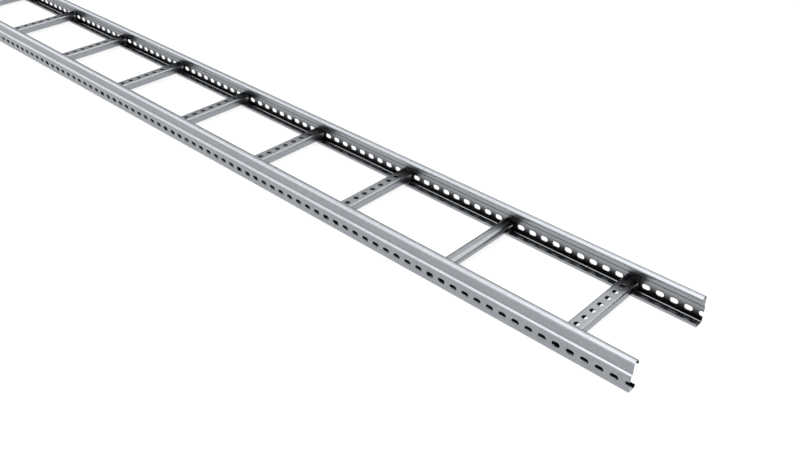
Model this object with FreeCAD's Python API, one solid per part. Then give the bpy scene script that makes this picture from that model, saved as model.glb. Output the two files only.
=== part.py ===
import FreeCAD, Part
import math
import os

# Cable ladder section: two roll-formed side rails joined by a row of rungs.
# Frame: X runs along the ladder, Y across it, Z up. The origin is at the
# middle of the ladder's footprint, on the level of the rails' bottom flanges.
# All sizes are in millimetres.

# Whole ladder
ladder_length = 3000.0
ladder_width = 216.0
rail_height = 56.2
sheet_thickness = 1.5

# Side rail section, measured from the outer face of the lower web
bottom_flange_width = 20.5
bottom_lip_height = 7.0
bottom_bend_radius = 2.25
web_step_depth = 3.2
web_step_start_height = 31.2
web_step_end_height = 34.2
web_step_bend_radius = 1.5
top_bead_width = 13.4
top_lip_drop = 10.0

# Slots in the lower web of each rail
slot_pitch = 25.0
slot_length = 14.5
slot_width = 9.0
slot_centre_height = 16.2

# Rungs: channels whose lower edges turn inward in a lip, measured over its outer face
rung_pitch = 250.0
rung_width = 27.0
rung_top_height = 23.5
rung_bend_radius = 1.0
rung_lip_width = 4.8

# The second rung is plain and narrower, with round corners
plain_rung_number = 2
plain_rung_width = 23.0
plain_rung_bend_radius = 5.0
plain_rung_lip_width = 7.5

# Holes in the top of a perforated rung
rung_hole_count = 8
rung_hole_pitch = 21.6
rung_hole_diameter = 10.0

# The slots at the rails' ends that take joint bolts are truly round, and so are
# the middle holes of the first rung. The many others have flats that touch the
# round, this number of them in a whole turn.
round_slot_count = 2
round_hole_count = 2
round_flat_count = 8

# A bend with a smaller inner radius than these is made of one flat or of two
least_two_flat_bend_radius = 2.0
least_round_bend_radius = 5.1

# A cutter passes this far beyond the sheet on both sides
cutter_margin = 1.0

# A straight run shorter than this is left out between two bends
shortest_run = 0.001


def left_normal(start, end):
    """Unit vector to the left of the walk from start to end, in the plane."""
    step_y = end[0] - start[0]
    step_z = end[1] - start[1]
    length = math.hypot(step_y, step_z)
    return (-step_z / length, step_y / length)


def bend(before, corner, after, radius):
    """Centre, tangent points and turn of a bend rounded on the centre line."""
    in_y = corner[0] - before[0]
    in_z = corner[1] - before[1]
    out_y = after[0] - corner[0]
    out_z = after[1] - corner[1]
    in_length = math.hypot(in_y, in_z)
    out_length = math.hypot(out_y, out_z)
    in_y = in_y / in_length
    in_z = in_z / in_length
    out_y = out_y / out_length
    out_z = out_z / out_length
    turn = math.atan2(in_y * out_z - in_z * out_y, in_y * out_y + in_z * out_z)
    setback = radius * math.tan(abs(turn) / 2.0)
    first = (corner[0] - in_y * setback, corner[1] - in_z * setback)
    last = (corner[0] + out_y * setback, corner[1] + out_z * setback)
    side = 1.0 if turn > 0.0 else -1.0
    centre = (first[0] - in_z * radius * side, first[1] + in_y * radius * side)
    return {"first": first, "last": last, "centre": centre, "corner": corner, "radius": radius, "side": side}


def sheet_side(path, bends, offset):
    """One face of the bent sheet: each run's and bend's points, and if it is an arc."""
    pieces = []
    normal = left_normal(path[0], path[1])
    here = (path[0][0] + normal[0] * offset, path[0][1] + normal[1] * offset)
    for index, item in enumerate(bends):
        normal_in = left_normal(path[index], path[index + 1])
        normal_out = left_normal(path[index + 1], path[index + 2])
        first = (item["first"][0] + normal_in[0] * offset, item["first"][1] + normal_in[1] * offset)
        last = (item["last"][0] + normal_out[0] * offset, item["last"][1] + normal_out[1] * offset)
        reach_y = item["corner"][0] - item["centre"][0]
        reach_z = item["corner"][1] - item["centre"][1]
        reach = math.hypot(reach_y, reach_z)
        face_radius = item["radius"] - offset * item["side"]
        inner_radius = item["radius"] - sheet_thickness / 2.0
        middle_y = item["centre"][0] + reach_y / reach * face_radius
        middle_z = item["centre"][1] + reach_z / reach * face_radius
        if math.hypot(first[0] - here[0], first[1] - here[1]) > shortest_run:
            pieces.append(([here, first], False))
        else:
            first = here
        if inner_radius < least_two_flat_bend_radius:
            pieces.append(([first, last], False))
        else:
            pieces.append(([first, (middle_y, middle_z), last], inner_radius >= least_round_bend_radius))
        here = last
    normal = left_normal(path[-2], path[-1])
    end = (path[-1][0] + normal[0] * offset, path[-1][1] + normal[1] * offset)
    pieces.append(([here, end], False))
    return pieces


def sheet_face(path, inner_radii, place):
    """Cross-section of sheet bent along a centre line, placed in space."""
    half = sheet_thickness / 2.0
    bends = []
    for index, inner_radius in enumerate(inner_radii):
        radius = inner_radius + half
        bends.append(bend(path[index], path[index + 1], path[index + 2], radius))
    left = sheet_side(path, bends, half)
    right = sheet_side(path, bends, -half)
    edges = []
    for piece in left + right:
        points = [place(point) for point in piece[0]]
        if piece[1]:
            edges.append(Part.Arc(points[0], points[1], points[2]).toShape())
        else:
            for start, end in zip(points, points[1:]):
                edges.append(Part.LineSegment(start, end).toShape())
    edges.append(Part.LineSegment(place(left[0][0][0]), place(right[0][0][0])).toShape())
    edges.append(Part.LineSegment(place(left[-1][0][-1]), place(right[-1][0][-1])).toShape())
    return Part.Face(Part.Wire(Part.__sortEdges__(edges)))


def rail_path():
    """Centre line of a rail's sheet from the bottom lip to the top lip."""
    half = sheet_thickness / 2.0
    lower_web = half
    upper_web = half + web_step_depth
    bottom = half
    top = rail_height - half
    bottom_lip = bottom_flange_width - half
    top_lip = upper_web + top_bead_width - sheet_thickness
    return [
        (bottom_lip, bottom_lip_height),
        (bottom_lip, bottom),
        (lower_web, bottom),
        (lower_web, web_step_start_height),
        (upper_web, web_step_end_height),
        (upper_web, top),
        (top_lip, top),
        (top_lip, rail_height - top_lip_drop),
    ]


def slot_cutter(place, through, truly_round):
    """Solid that cuts one slot, its long side along the first axis of place."""
    radius = slot_width / 2.0
    reach = slot_length / 2.0 - radius
    if truly_round:
        lower = Part.LineSegment(place(-reach, -radius), place(reach, -radius))
        upper = Part.LineSegment(place(-reach, radius), place(reach, radius))
        front = Part.Arc(place(reach, -radius), place(reach + radius, 0.0), place(reach, radius))
        back = Part.Arc(place(-reach, -radius), place(-reach - radius, 0.0), place(-reach, radius))
        edges = [item.toShape() for item in (lower, front, upper, back)]
        return Part.Face(Part.Wire(Part.__sortEdges__(edges))).extrude(through)
    points = []
    for along, up in flat_round(radius):
        shift = reach if along > 0.0 else -reach
        points.append(place(along + shift, up))
    return Part.Face(Part.makePolygon(points + points[:1])).extrude(through)


def flat_round(radius):
    """Corners of the outline whose flats touch a circle from outside."""
    half_step = math.pi / round_flat_count
    corners = []
    for index in range(round_flat_count):
        angle = (2 * index + 1) * half_step
        reach = radius / math.cos(half_step)
        corners.append((reach * math.cos(angle), reach * math.sin(angle)))
    return corners


def make_rail(side):
    """One side rail, side -1 for the near one and 1 for the far one."""
    outer = side * ladder_width / 2.0

    def place(point):
        return FreeCAD.Vector(-ladder_length / 2.0, outer - side * point[0], point[1])

    bead_radius = top_bead_width / 2.0 - sheet_thickness
    radii = [bottom_bend_radius] * 2 + [web_step_bend_radius] * 2 + [bead_radius] * 2
    along = FreeCAD.Vector(ladder_length, 0.0, 0.0)
    rail = sheet_face(rail_path(), radii, place).extrude(along)
    through = FreeCAD.Vector(0.0, -side * (sheet_thickness + 2.0 * cutter_margin), 0.0)
    slot_count = int(ladder_length // slot_pitch) + 1
    cutters = []
    for index in range(slot_count):
        centre = (index - (slot_count - 1) / 2.0) * slot_pitch
        from_end = min(index, slot_count - 1 - index)
        truly_round = 1 <= from_end <= round_slot_count

        def place_slot(x, z):
            return FreeCAD.Vector(centre + x, outer + side * cutter_margin, slot_centre_height + z)

        cutters.append(slot_cutter(place_slot, through, truly_round))
    return rail.cut(Part.makeCompound(cutters))


def make_rung(number, rung_count):
    """One rung: a lipped channel open below, standing on the rails' bottom lips.

    Number 1 is nearest the ladder's +X end."""
    half = sheet_thickness / 2.0
    centre = ((rung_count + 1) / 2.0 - number) * rung_pitch
    end = ladder_width / 2.0 - sheet_thickness
    plain = number == plain_rung_number
    width = plain_rung_width if plain else rung_width
    radius = plain_rung_bend_radius if plain else rung_bend_radius
    lip = plain_rung_lip_width if plain else rung_lip_width
    wall = width / 2.0 - half
    bottom = bottom_lip_height + half
    top = rung_top_height - half
    path = [
        (lip - width / 2.0, bottom),
        (-wall, bottom),
        (-wall, top),
        (wall, top),
        (wall, bottom),
        (width / 2.0 - lip, bottom),
    ]

    def place(point):
        return FreeCAD.Vector(centre + point[0], -end, point[1])

    across = FreeCAD.Vector(0.0, 2.0 * end, 0.0)
    rung = sheet_face(path, [radius] * 4, place).extrude(across)
    if plain:
        return rung
    hole_radius = rung_hole_diameter / 2.0
    start = rung_top_height + cutter_margin
    depth = sheet_thickness + 2.0 * cutter_margin
    round_hole_reach = round_hole_count / 2.0
    cutters = []
    for index in range(rung_hole_count):
        from_middle = index - (rung_hole_count - 1) / 2.0
        y = from_middle * rung_hole_pitch
        if number == 1 and abs(from_middle) < round_hole_reach:
            foot = FreeCAD.Vector(centre, y, start - depth)
            cutters.append(Part.makeCylinder(hole_radius, depth, foot))
        else:
            points = [FreeCAD.Vector(centre + a, y + b, start) for a, b in flat_round(hole_radius)]
            outline = Part.Face(Part.makePolygon(points + points[:1]))
            cutters.append(outline.extrude(FreeCAD.Vector(0.0, 0.0, -depth)))
    return rung.cut(Part.makeCompound(cutters))


def save(name, shape):
    """Write one named piece as a single solid."""
    shape.Solids[0].exportStep(os.path.join("parts", name + ".step"))


os.makedirs("parts", exist_ok=True)
save("side_rail_near", make_rail(-1.0))
save("side_rail_far", make_rail(1.0))
last_rung = int(ladder_length // rung_pitch)
for rung_number in range(1, last_rung + 1):
    save("rung_%02d" % rung_number, make_rung(rung_number, last_rung))
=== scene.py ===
import math

import bmesh
import bpy
from mathutils import Matrix, Vector


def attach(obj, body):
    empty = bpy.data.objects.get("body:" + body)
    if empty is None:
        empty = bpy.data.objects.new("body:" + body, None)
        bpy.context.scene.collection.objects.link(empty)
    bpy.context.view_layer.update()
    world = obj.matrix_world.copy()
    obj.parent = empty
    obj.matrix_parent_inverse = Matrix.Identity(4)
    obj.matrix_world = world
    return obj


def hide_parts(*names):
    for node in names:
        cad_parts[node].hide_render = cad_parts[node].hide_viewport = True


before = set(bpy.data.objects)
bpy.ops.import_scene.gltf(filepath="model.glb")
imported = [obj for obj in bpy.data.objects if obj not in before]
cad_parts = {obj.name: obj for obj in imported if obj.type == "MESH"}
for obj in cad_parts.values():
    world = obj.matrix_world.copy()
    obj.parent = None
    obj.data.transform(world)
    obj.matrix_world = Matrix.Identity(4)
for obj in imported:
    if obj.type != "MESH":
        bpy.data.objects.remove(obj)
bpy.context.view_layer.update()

# The sections are worked out in millimetres, and this makes metres of them
MM = 0.001

# Whole ladder
LENGTH = 3000.0
WIDTH = 216.0
RAIL_HEIGHT = 56.2
SHEET = 1.5

# Rail section, across it from the outer face of the lower web and up from its underside.
# The bends are inner radii.
FLANGE_WIDTH = 18.9
LIP_HEIGHT = 5.5
STEP_DEPTH = 3.2
STEP_START = 31.2
STEP_END = 33.5
BEAD_WIDTH = 13.4
BEAD_DROP = 10.0
LIP_BEND = 0.05
FLANGE_BEND = 2.25
STEP_LOWER_BEND = 1.8
STEP_UPPER_BEND = 1.5
RAIL_BEND_STEPS = (4, 6, 4, 4, 12, 12)

# Above this height a rail's inner face is the inside of its bead, which takes the painted shade
BEAD_FOOT = 49.0

# Slots in the lower webs
SLOT_PITCH = 25.0
SLOT_LENGTH = 14.5
SLOT_WIDTH = 9.0
SLOT_HEIGHT = 16.2
SLOT_STEPS = 8

# Rungs and the holes in them
RUNG_PITCH = 250.0
RUNG_COUNT = 12
RUNG_TOP = 23.5
RUNG_FOOT = 7.0
PLAIN_RUNG = 2
HOLE_PITCH = 21.6
HOLE_COUNT = 8
HOLE_DIAMETER = 10.0
HOLE_STEPS = 10

# Section of a rung: width, lower lip, inner radius at the feet and at the shoulders, steps in a bend
PERFORATED_SECTION = (27.0, 5.2, 1.0, 1.8, 6)
PLAIN_SECTION = (23.0, 7.5, 5.0, 6.2, 10)

# Rounding of the sheet's long edges, of the slots' rims and of the rims of the rungs' holes
LONG_EDGE = 0.3
LONG_EDGE_STEPS = 4
SLOT_EDGE = 0.22
HOLE_EDGE = 0.5

# Corners closer than this, in millimetres, are one
SAME_POINT = 1e-4

# Edges that turn by more than this, in degrees, stay sharp
SHARP_ANGLE = 40.0

# Material slots of a piece: outer faces, cut edges, and inner faces with painted shade
FACE, CUT, PAINTED_SHADE = 0, 1, 2

# Zinc: colours and roughness
ZINC = (0.402, 0.421, 0.446)
ZINC_ROUGHNESS = 0.31
CUT_ZINC = (0.30, 0.305, 0.315)
CUT_ROUGHNESS = 0.42
# Painted shade: a near-black copy of the zinc for the insides of the rungs and of the beads
PAINTED_SHADE_ZINC = (0.085, 0.089, 0.096)
PAINTED_SHADE_ROUGHNESS = 0.45

# Painted shade on the rails: soft bands by the distance from the ladder's middle line and by the
# height, in metres, and how much of the colour they take away. One lies at the foot of the inner face
# of the lower web, the other on the inner face of the lip and the flange beside it.
WEB_ACROSS = (0.1040, 0.1062, 0.1067, 0.1072)
WEB_UP = (0.0005, 0.0042, 0.0040, 0.0310)
WEB_PAINTED_SHADE = 0.76
LIP_ACROSS = (0.0895, 0.0901, 0.0945, 0.0955)
LIP_UP = (0.0005, 0.0012, 0.0043, 0.0050)
LIP_PAINTED_SHADE = 0.88

# Camera: its place and axes are fitted to the slots in the photograph
CAMERA_PLACE = Vector((1.89679, -0.99789, 0.89616))
CAMERA_RIGHT = Vector((0.726853, 0.68679, 0.001834))
CAMERA_DOWN = Vector((0.381282, -0.4013, -0.832816))
CAMERA_FORWARD = Vector((-0.571234, 0.606034, -0.553547))
CAMERA_SENSOR = 36.0
CAMERA_LENS = 40.2663
CAMERA_REACH = 100.0

# Floor, in metres: how bright the camera sees it, and the steel, which sees the part of it
# in front on the left brighter, and how much light it throws back
FLOOR_SIZE = 60.0
FLOOR_HEIGHT = -0.0004
FLOOR_SEEN = 0.86
FLOOR_IN_STEEL = 0.88
FLOOR_IN_STEEL_LEFT = 1.55
FLOOR_GREY = 0.20
FLOOR_BOUNCES = 1.5

# Room: brightness for each axis that a ray goes along, its least value, and what is left of it
# after the bounces that see it in full
ROOM_X = 0.60
ROOM_Y = 0.47
ROOM_Z = 1.56
ROOM_LEAST = 0.2
ROOM_BOUNCES = 2.5
ROOM_AFTER = 0.012

# Soft boxes: direction, strength and how narrow they are
SOFT_BOXES = (
    ((-0.141, -0.667, 0.732), 2.03, 8.84),
    ((-0.877, -0.475, 0.075), 2.25, 4.73),
    ((-0.146, -0.040, 0.988), 1.07, 14.0),
)


# Small helpers for shader nodes
def node(tree, kind, inputs=None, **settings):
    made = tree.nodes.new(kind)
    for key, value in settings.items():
        setattr(made, key, value)
    for key, value in (inputs or {}).items():
        feed(tree, made.inputs[key], value)
    return made


def feed(tree, socket, value):
    """Links a socket to another node's output, or gives it a plain value."""
    if isinstance(value, bpy.types.NodeSocket):
        tree.links.new(value, socket)
    else:
        socket.default_value = value


def maths(tree, operation, first, second=0.0):
    return node(tree, "ShaderNodeMath", {0: first, 1: second}, operation=operation).outputs[0]


def vector_maths(tree, operation, first, second):
    return node(tree, "ShaderNodeVectorMath", {0: first, 1: second}, operation=operation)


def scaled(tree, colour, factor):
    """A colour times a single number."""
    spread = node(tree, "ShaderNodeCombineXYZ", {0: factor, 1: factor, 2: factor}).outputs[0]
    return vector_maths(tree, "MULTIPLY", colour, spread).outputs[0]


def remap(tree, value, low, high, new_low, new_high, smooth=False):
    kind = "SMOOTHSTEP" if smooth else "LINEAR"
    inputs = {"Value": value, "From Min": low, "From Max": high, "To Min": new_low, "To Max": new_high}
    return node(tree, "ShaderNodeMapRange", inputs, interpolation_type=kind).outputs["Result"]


def band(tree, value, limits):
    """1 between the two middle limits, and softly down to 0 at the outer ones."""
    rise = remap(tree, value, limits[0], limits[1], 0.0, 1.0, True)
    fall = remap(tree, value, limits[2], limits[3], 1.0, 0.0, True)
    return maths(tree, "MULTIPLY", rise, fall)


def mix_colour(tree, factor, first, second):
    made = node(tree, "ShaderNodeMix", data_type="RGBA")
    for index, value in ((0, factor), (6, first), (7, second)):
        feed(tree, made.inputs[index], value)
    return made.outputs[2]


def noise(tree, place, scale, detail, roughness=0.5):
    inputs = {"Vector": place, "Scale": scale, "Detail": detail, "Roughness": roughness}
    return node(tree, "ShaderNodeTexNoise", inputs)


def left_after_painted_shade(tree, spot):
    """What is left of the colour where shade is painted on the rails' inner faces."""
    axes = node(tree, "ShaderNodeSeparateXYZ", {0: spot})
    off_middle = maths(tree, "ABSOLUTE", axes.outputs[1])
    left_over = 1.0
    for across, up, dark in ((WEB_ACROSS, WEB_UP, WEB_PAINTED_SHADE), (LIP_ACROSS, LIP_UP, LIP_PAINTED_SHADE)):
        place = maths(tree, "MULTIPLY", band(tree, off_middle, across), band(tree, axes.outputs[2], up))
        left_over = maths(tree, "SUBTRACT", left_over, maths(tree, "MULTIPLY", place, dark))
    return left_over


def zinc(name, along, base, roughness, shade_painted_inside=False):
    """Hot-dip zinc on rolled sheet: soft spangle, roll lines along one axis, smudges and fine grain.
    With its last argument true, it takes the painted shade on the rails' inner faces."""
    material = bpy.data.materials.new(name)
    material.use_nodes = True
    tree = material.node_tree
    shader = tree.nodes["Principled BSDF"]
    shader.inputs["Metallic"].default_value = 1.0
    spot = node(tree, "ShaderNodeTexCoord").outputs["Object"]

    # Patterns: zinc crystals with bent borders, smudges, roll lines and grain
    warp = noise(tree, spot, 260.0, 3.0).outputs["Color"]
    warp = vector_maths(tree, "MULTIPLY", warp, (0.0022, 0.0022, 0.0022)).outputs[0]
    bent = vector_maths(tree, "ADD", spot, warp).outputs[0]
    crystal = node(tree, "ShaderNodeTexVoronoi", {"Vector": bent, "Scale": 190.0}).outputs["Color"]
    crystal = node(tree, "ShaderNodeSeparateColor", {0: crystal}).outputs[0]
    smudge = noise(tree, spot, 14.0, 5.0, 0.6).outputs["Fac"]
    stretch = (0.02, 1.0, 1.0) if along == "X" else (1.0, 0.02, 1.0)
    rolled = node(tree, "ShaderNodeMapping", {"Vector": spot, "Scale": stretch}).outputs[0]
    lines = noise(tree, rolled, 900.0, 3.0, 0.65).outputs["Fac"]
    grain = noise(tree, spot, 2400.0, 2.0).outputs["Fac"]

    # Colour
    value = remap(tree, crystal, 0.0, 1.0, 0.94, 1.05)
    value = maths(tree, "ADD", value, remap(tree, smudge, 0.3, 0.7, -0.035, 0.035))
    value = maths(tree, "ADD", value, remap(tree, lines, 0.3, 0.7, -0.03, 0.03))
    clean = (base[0], base[1], base[2], 1.0)
    dull = (base[0] * 0.80, base[1] * 0.81, base[2] * 0.84, 1.0)
    colour = mix_colour(tree, remap(tree, smudge, 0.42, 0.68, 0.0, 0.35), clean, dull)
    colour = scaled(tree, colour, value)
    # Painted shade at the foot of the rails' inner webs and on the lips' inner faces
    if shade_painted_inside:
        colour = scaled(tree, colour, left_after_painted_shade(tree, spot))
    feed(tree, shader.inputs["Base Color"], colour)

    # Roughness
    rough = remap(tree, crystal, 0.0, 1.0, roughness - 0.03, roughness + 0.04)
    rough = maths(tree, "ADD", rough, remap(tree, smudge, 0.3, 0.7, -0.03, 0.05))
    rough = maths(tree, "ADD", rough, remap(tree, lines, 0.35, 0.75, -0.02, 0.05))
    feed(tree, shader.inputs["Roughness"], rough)

    # Unevenness
    height = maths(tree, "MULTIPLY", lines, 0.55)
    height = maths(tree, "ADD", height, maths(tree, "MULTIPLY", grain, 0.25))
    height = maths(tree, "ADD", height, maths(tree, "MULTIPLY", crystal, 0.35))
    bump = node(tree, "ShaderNodeBump", {"Height": height, "Strength": 0.12, "Distance": 0.00012})
    feed(tree, shader.inputs["Normal"], bump.outputs[0])
    return material


# Sheet metal sections
def rounded(path, radii, steps):
    """Centre-line points of bent sheet with the unit normal to the left of each."""
    corners = [Vector(corner) for corner in path]
    start = (corners[1] - corners[0]).normalized()
    points = [(corners[0], Vector((-start.y, start.x)))]
    for index, corner in enumerate(corners[1:-1]):
        inward = (corner - corners[index]).normalized()
        outward = (corners[index + 2] - corner).normalized()
        turn = math.atan2(inward.x * outward.y - inward.y * outward.x, inward.dot(outward))
        radius = radii[index] + SHEET / 2.0
        first = corner - inward * radius * math.tan(abs(turn) / 2.0)
        side = 1.0 if turn > 0.0 else -1.0
        start_normal = Vector((-inward.y, inward.x))
        centre = first + start_normal * radius * side
        for step in range(steps[index] + 1):
            normal = Matrix.Rotation(turn * step / steps[index], 2) @ start_normal
            points.append((centre - normal * radius * side, normal))
    end = (corners[-1] - corners[-2]).normalized()
    points.append((corners[-1], Vector((-end.y, end.x))))
    kept = points[:1]
    for item in points[1:]:
        if (item[0] - kept[-1][0]).length > SAME_POINT:
            kept.append(item)
    return kept


def edge_round(end, normal, along):
    """Points round a long edge of the sheet, from its face on the normal's side to the other one."""
    flat = SHEET / 2.0 - LONG_EDGE
    quarter = []
    for step in range(1, LONG_EDGE_STEPS):
        angle = math.pi / 2.0 * step / LONG_EDGE_STEPS
        quarter.append((flat + LONG_EDGE * math.cos(angle), LONG_EDGE * math.sin(angle)))
    quarter.append((flat, LONG_EDGE))
    near = [end + normal * a + along * b for a, b in quarter]
    return near + [end - normal * a + along * b for a, b in reversed(quarter)]


def faces_and_edges(points):
    """Both faces of the bent sheet, left and right of its centre line, and its two long edges."""
    half = SHEET / 2.0
    left = [centre + normal * half for centre, normal in points]
    right = [centre - normal * half for centre, normal in points]
    edges = []
    for index, neighbour in ((-1, -2), (0, 1)):
        centre, normal = points[index]
        along = (centre - points[neighbour][0]).normalized()
        end = centre - along * LONG_EDGE
        left[index] = end + normal * half
        right[index] = end - normal * half
        if index == 0:
            edges.append([right[0]] + edge_round(end, -normal, along) + [left[0]])
        else:
            edges.append([left[-1]] + edge_round(end, normal, along) + [right[-1]])
    return left, right, edges


def longest_run(points, axis):
    """Number of the straight run that goes furthest along one axis of the section."""
    return max(range(len(points) - 1), key=lambda k: points[k + 1][0][axis] - points[k][0][axis])


class Builder:
    """Collects vertices and faces, merging vertices that coincide."""

    def __init__(self):
        self.points = []
        self.faces = []
        self.slots = []
        self.index = {}

    def point(self, x, y, z):
        key = (round(x, 4), round(y, 4), round(z, 4))
        if key not in self.index:
            self.index[key] = len(self.points)
            self.points.append((x * MM, y * MM, z * MM))
        return self.index[key]

    def face(self, corners, slot):
        kept = []
        for corner in corners:
            if not kept or corner != kept[-1]:
                kept.append(corner)
        if kept[0] == kept[-1]:
            kept.pop()
        if len(kept) > 2:
            self.faces.append(kept)
            self.slots.append(slot)

    def finish(self, name, materials, replaced):
        mesh = bpy.data.meshes.new(name)
        mesh.from_pydata(self.points, [], self.faces)
        for material in materials:
            mesh.materials.append(material)
        mesh.polygons.foreach_set("material_index", self.slots)
        mesh.validate()
        item = bpy.data.objects.new(name, mesh)
        bpy.context.scene.collection.objects.link(item)
        work = bmesh.new()
        work.from_mesh(mesh)
        bmesh.ops.recalc_face_normals(work, faces=work.faces[:])
        work.to_mesh(mesh)
        work.free()
        mesh.polygons.foreach_set("use_smooth", [True] * len(mesh.polygons))
        mesh.set_sharp_from_angle(angle=math.radians(SHARP_ANGLE))
        shade = item.modifiers.new("flat_faces_first", "WEIGHTED_NORMAL")
        shade.mode = "FACE_AREA"
        shade.weight = 100
        shade.keep_sharp = True
        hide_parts(replaced)
        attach(item, "root")


def rim_profile(roll):
    """Rolled rim of a punched hole: depth below the outer face, and how far it stands back there."""
    back = roll * 0.8
    return [(0.0, roll), (roll * 0.3, roll * 0.3), (roll, 0.0), (SHEET - back, 0.0), (SHEET, back)]


def obround(length, width, grow, steps):
    """Quarter of a slot's outline grown by a margin, from its tip to the middle of its side."""
    radius = width / 2.0 + grow
    reach = length / 2.0 - width / 2.0
    outline = []
    for step in range(steps + 1):
        angle = math.pi / 2.0 * step / steps
        outline.append((reach + radius * math.cos(angle), radius * math.sin(angle)))
    if reach > 0.0:
        outline.append((0.0, radius))
    return outline


def pierced_cell(build, place, cell, hole, halves, roll, inner_slot):
    """One field of sheet with a hole in it, or the halves of the field that are asked for.
    place(a, b, depth) gives the vertex, with depth from 0 at the outer face to SHEET."""
    half_long, low, high = cell
    length, width, steps = hole
    rims = [(depth, obround(length, width, grow, steps)) for depth, grow in rim_profile(roll)]
    for sx in halves:
        for sz, reach in ((-1.0, low), (1.0, high)):
            for (depth, outline), slot in ((rims[0], FACE), (rims[-1], inner_slot)):
                corners = [place(sx * a, sz * b, depth) for a, b in outline]
                corners.append(place(0.0, sz * reach, depth))
                corners.append(place(sx * half_long, sz * reach, depth))
                corners.append(place(sx * half_long, 0.0, depth))
                build.face(corners, slot)
            for (depth, outline), (next_depth, next_outline) in zip(rims, rims[1:]):
                for k in range(len(outline) - 1):
                    corners = [place(sx * a, sz * b, depth) for a, b in outline[k:k + 2]]
                    corners += [place(sx * a, sz * b, next_depth) for a, b in next_outline[k:k + 2][::-1]]
                    build.face(corners, CUT)


def sweep(build, row, stations, place, slot):
    """Faces between successive stations along the stock for a row of section points."""
    for first, second in zip(stations, stations[1:]):
        for here, there in zip(row, row[1:]):
            corners = [place(first, here), place(first, there), place(second, there), place(second, here)]
            build.face(corners, slot)


def close_end(build, left, right, edges, station, place, open_run=None):
    """Closes one cut end of the stock between the faces of the sheet, apart from one run of it."""
    for k in range(len(left) - 1):
        if k != open_run:
            corners = [left[k], left[k + 1], right[k + 1], right[k]]
            build.face([place(station, corner) for corner in corners], CUT)
    for edge in edges:
        build.face([place(station, corner) for corner in edge], CUT)


def rail(side, replaced):
    """One side rail, side -1 for the near one and 1 for the far one."""
    half = SHEET / 2.0
    lip = FLANGE_WIDTH - half
    upper_web = half + STEP_DEPTH
    bead_lip = upper_web + BEAD_WIDTH - SHEET
    top = RAIL_HEIGHT - half
    path = [(lip, LIP_HEIGHT), (lip, half), (half, half), (half, STEP_START), (upper_web, STEP_END),
            (upper_web, top), (bead_lip, top), (bead_lip, RAIL_HEIGHT - BEAD_DROP)]
    bead_bend = BEAD_WIDTH / 2.0 - SHEET
    radii = (LIP_BEND, FLANGE_BEND, STEP_LOWER_BEND, STEP_UPPER_BEND, bead_bend, bead_bend)
    points = rounded(path, radii, RAIL_BEND_STEPS)
    left, right, edges = faces_and_edges(points)
    outer = side * WIDTH / 2.0
    build = Builder()

    def place(x, point):
        return build.point(x, outer - side * point[0], point[1])

    slotted = longest_run(points, 1)
    low = points[slotted][0].y
    high = points[slotted + 1][0].y
    count = int(LENGTH / SLOT_PITCH)
    stations = [SLOT_PITCH / 2.0 * k - LENGTH / 2.0 for k in range(2 * count + 1)]
    for row in (left[:slotted + 1], left[slotted + 1:], right[:slotted + 1]):
        sweep(build, row, stations, place, FACE)
    upper = right[slotted + 1:]
    bead = [k for k, point in enumerate(upper) if point.y > BEAD_FOOT][0]
    sweep(build, upper[:bead + 1], stations, place, FACE)
    # The inside of the bead takes the painted shade
    sweep(build, upper[bead:], stations, place, PAINTED_SHADE)
    for edge in edges:
        sweep(build, edge, stations, place, CUT)

    # The ends are cut through the middle of a slot
    for station in (stations[0], stations[-1]):
        close_end(build, left, right, edges, station, place, slotted)
        for border, sign in ((low, -1.0), (high, 1.0)):
            slot_side = SLOT_HEIGHT + sign * SLOT_WIDTH / 2.0
            corners = [(depth, slot_side + sign * grow) for depth, grow in rim_profile(SLOT_EDGE)]
            corners = [(0.0, border)] + corners + [(SHEET, border)]
            build.face([place(station, corner) for corner in corners], CUT)

    cell = (SLOT_PITCH / 2.0, SLOT_HEIGHT - low, high - SLOT_HEIGHT)
    hole = (SLOT_LENGTH, SLOT_WIDTH, SLOT_STEPS)
    for index in range(count + 1):
        centre = SLOT_PITCH * index - LENGTH / 2.0
        halves = [s for s in (-1.0, 1.0) if abs(centre + s * SLOT_PITCH / 2.0) <= LENGTH / 2.0]
        pierced_cell(build, lambda a, b, depth: place(centre + a, (depth, SLOT_HEIGHT + b)),
                     cell, hole, halves, SLOT_EDGE, FACE)
    build.finish(replaced + "_sheet", [rail_zinc_painted_shade, cut_zinc, painted_shade_zinc], replaced)


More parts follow.
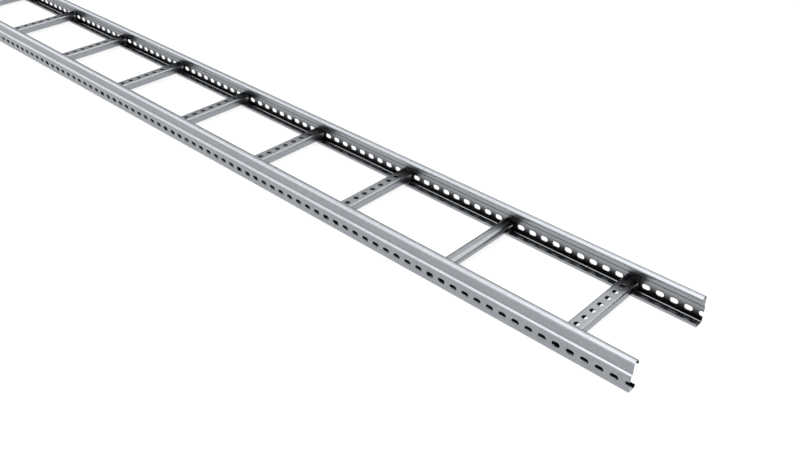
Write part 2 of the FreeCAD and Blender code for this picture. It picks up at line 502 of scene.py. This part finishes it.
def rung(number):
    """One rung, open below. Number 1 is nearest the end that is in full view."""
    replaced = "rung_%02d" % number
    plain = number == PLAIN_RUNG
    half = SHEET / 2.0
    width, lip, foot_bend, shoulder_bend, steps = PLAIN_SECTION if plain else PERFORATED_SECTION
    wall = width / 2.0 - half
    foot = RUNG_FOOT + half
    top = RUNG_TOP - half
    path = [(lip - width / 2.0, foot), (-wall, foot), (-wall, top),
            (wall, top), (wall, foot), (width / 2.0 - lip, foot)]
    points = rounded(path, (foot_bend, shoulder_bend, shoulder_bend, foot_bend), (steps,) * 4)
    left, right, edges = faces_and_edges(points)
    centre = ((RUNG_COUNT + 1) / 2.0 - number) * RUNG_PITCH
    end = WIDTH / 2.0 - SHEET
    build = Builder()

    def place(y, point):
        return build.point(centre + point[0], y, point[1])

    flat = longest_run(points, 0)
    reach = points[flat + 1][0].x
    half_pitch = HOLE_PITCH / 2.0
    stations = [-end] + [half_pitch * k for k in range(-HOLE_COUNT, HOLE_COUNT + 1)] + [end]
    # The inner face of a rung takes the painted shade
    for row, slot in ((left, FACE), (right, PAINTED_SHADE)):
        if plain:
            sweep(build, row, stations, place, slot)
            continue
        sweep(build, row[:flat + 1], stations, place, slot)
        sweep(build, row[flat + 1:], stations, place, slot)
        middle = (0.0, row[flat].y)
        for pair in (stations[:2], stations[-2:]):
            sweep(build, [row[flat], middle, row[flat + 1]], pair, place, slot)
    for edge in edges:
        sweep(build, edge, stations, place, CUT)

    # The middle line of a perforated top carries vertices, so its ends are closed in two halves
    for station in (stations[0], stations[-1]):
        close_end(build, left, right, edges, station, place, None if plain else flat)
        if not plain:
            for k in (flat, flat + 1):
                corners = [left[k], (0.0, left[k].y), (0.0, right[k].y), right[k]]
                build.face([place(station, corner) for corner in corners], CUT)
    if not plain:
        cell = (half_pitch, reach, reach)
        hole = (HOLE_DIAMETER, HOLE_DIAMETER, HOLE_STEPS)
        for index in range(HOLE_COUNT):
            across = (index - (HOLE_COUNT - 1) / 2.0) * HOLE_PITCH
            # Round each hole, the inner face takes the painted shade too
            pierced_cell(build, lambda a, b, depth: place(across + a, (b, RUNG_TOP - depth)),
                         cell, hole, (-1.0, 1.0), HOLE_EDGE, PAINTED_SHADE)
    build.finish(replaced + "_channel", [rung_zinc, cut_zinc, painted_shade_zinc], replaced)


# Camera
camera_data = bpy.data.cameras.new("camera")
camera_data.sensor_width = CAMERA_SENSOR
camera_data.lens = CAMERA_LENS
camera_data.clip_end = CAMERA_REACH
camera = bpy.data.objects.new("camera", camera_data)
bpy.context.scene.collection.objects.link(camera)
camera.matrix_world = Matrix((
    (CAMERA_RIGHT.x, -CAMERA_DOWN.x, -CAMERA_FORWARD.x, CAMERA_PLACE.x),
    (CAMERA_RIGHT.y, -CAMERA_DOWN.y, -CAMERA_FORWARD.y, CAMERA_PLACE.y),
    (CAMERA_RIGHT.z, -CAMERA_DOWN.z, -CAMERA_FORWARD.z, CAMERA_PLACE.z),
    (0.0, 0.0, 0.0, 1.0),
))
bpy.context.scene.camera = camera

# The ladder
# Zinc for the rails, with painted shade on their inner faces
rail_zinc_painted_shade = zinc("rail_zinc_painted_shade", "X", ZINC, ZINC_ROUGHNESS, True)
rung_zinc = zinc("rung_zinc", "Y", ZINC, ZINC_ROUGHNESS)
cut_zinc = zinc("cut_edge_zinc", "Y", CUT_ZINC, CUT_ROUGHNESS)
# Painted shade for the insides of the rungs and of the beads, a near-black copy of the zinc
painted_shade_zinc = zinc("rung_inside_zinc", "Y", PAINTED_SHADE_ZINC, PAINTED_SHADE_ROUGHNESS)
rail(-1.0, "side_rail_near")
rail(1.0, "side_rail_far")
for rung_number in range(1, RUNG_COUNT + 1):
    rung(rung_number)

# Floor, which shows white and keeps the ladder's shadow
bpy.ops.mesh.primitive_plane_add(size=FLOOR_SIZE, location=(0.0, 0.0, FLOOR_HEIGHT))
floor = bpy.context.object
floor.name = "floor"
paper = bpy.data.materials.new("paper")
paper.use_nodes = True
tree = paper.node_tree
tree.nodes.remove(tree.nodes["Principled BSDF"])
light_path = node(tree, "ShaderNodeLightPath").outputs
seen = maths(tree, "MULTIPLY", light_path["Is Camera Ray"], FLOOR_SEEN)
seen = maths(tree, "ADD", seen, maths(tree, "MULTIPLY", light_path["Is Transmission Ray"], FLOOR_SEEN))
spot = node(tree, "ShaderNodeTexCoord").outputs["Object"]
axes = node(tree, "ShaderNodeSeparateXYZ", {0: spot}).outputs
left_part = remap(tree, axes[1], -0.20, -0.45, 0.0, 1.0, True)
left_part = maths(tree, "MULTIPLY", left_part, remap(tree, axes[0], 1.3, 0.7, 0.0, 1.0, True))
in_steel = remap(tree, left_part, 0.0, 1.0, FLOOR_IN_STEEL, FLOOR_IN_STEEL_LEFT)
first_bounce = maths(tree, "LESS_THAN", light_path["Ray Depth"], FLOOR_BOUNCES)
mirrored = maths(tree, "MULTIPLY", light_path["Is Glossy Ray"], first_bounce)
mirrored = maths(tree, "MULTIPLY", mirrored, in_steel)
glow = node(tree, "ShaderNodeEmission", {
    "Color": (1.0, 1.0, 1.0, 1.0), "Strength": maths(tree, "ADD", seen, mirrored)})
matt = node(tree, "ShaderNodeBsdfDiffuse", {"Color": (FLOOR_GREY, FLOOR_GREY, FLOOR_GREY, 1.0)})
both = node(tree, "ShaderNodeAddShader", {0: glow.outputs[0], 1: matt.outputs[0]})
feed(tree, tree.nodes["Material Output"].inputs["Surface"], both.outputs[0])
floor.data.materials.append(paper)

# Studio light: a plain bright room with soft boxes in front, on the left and overhead
world = bpy.data.worlds.new("world")
bpy.context.scene.world = world
world.use_nodes = True
world.cycles.sampling_method = "NONE"
tree = world.node_tree
light_path = node(tree, "ShaderNodeLightPath").outputs
toward = node(tree, "ShaderNodeTexCoord").outputs["Generated"]
axes = node(tree, "ShaderNodeSeparateXYZ", {0: toward}).outputs
room = maths(tree, "MULTIPLY", axes[2], ROOM_Z)
room = maths(tree, "ADD", room, maths(tree, "MULTIPLY", axes[0], ROOM_X))
room = maths(tree, "ADD", room, maths(tree, "MULTIPLY", axes[1], ROOM_Y))
room = maths(tree, "MAXIMUM", room, ROOM_LEAST)
for direction, strength, narrowness in SOFT_BOXES:
    facing = vector_maths(tree, "DOT_PRODUCT", toward, Vector(direction).normalized()).outputs["Value"]
    glow = maths(tree, "POWER", maths(tree, "MAXIMUM", facing, 0.0), narrowness)
    room = maths(tree, "ADD", room, maths(tree, "MULTIPLY", glow, strength))
early_bounce = maths(tree, "LESS_THAN", light_path["Ray Depth"], ROOM_BOUNCES)
room = maths(tree, "MULTIPLY", room, maths(tree, "MAXIMUM", early_bounce, ROOM_AFTER))

# The camera itself sees plain white
camera_ray = light_path["Is Camera Ray"]
other_ray = maths(tree, "SUBTRACT", 1.0, camera_ray)
level = maths(tree, "ADD", maths(tree, "MULTIPLY", room, other_ray), camera_ray)
background = tree.nodes["Background"]
background.inputs["Color"].default_value = (1.0, 1.0, 1.0, 1.0)
feed(tree, background.inputs["Strength"], level)

bpy.context.scene.view_settings.view_transform = "Standard"
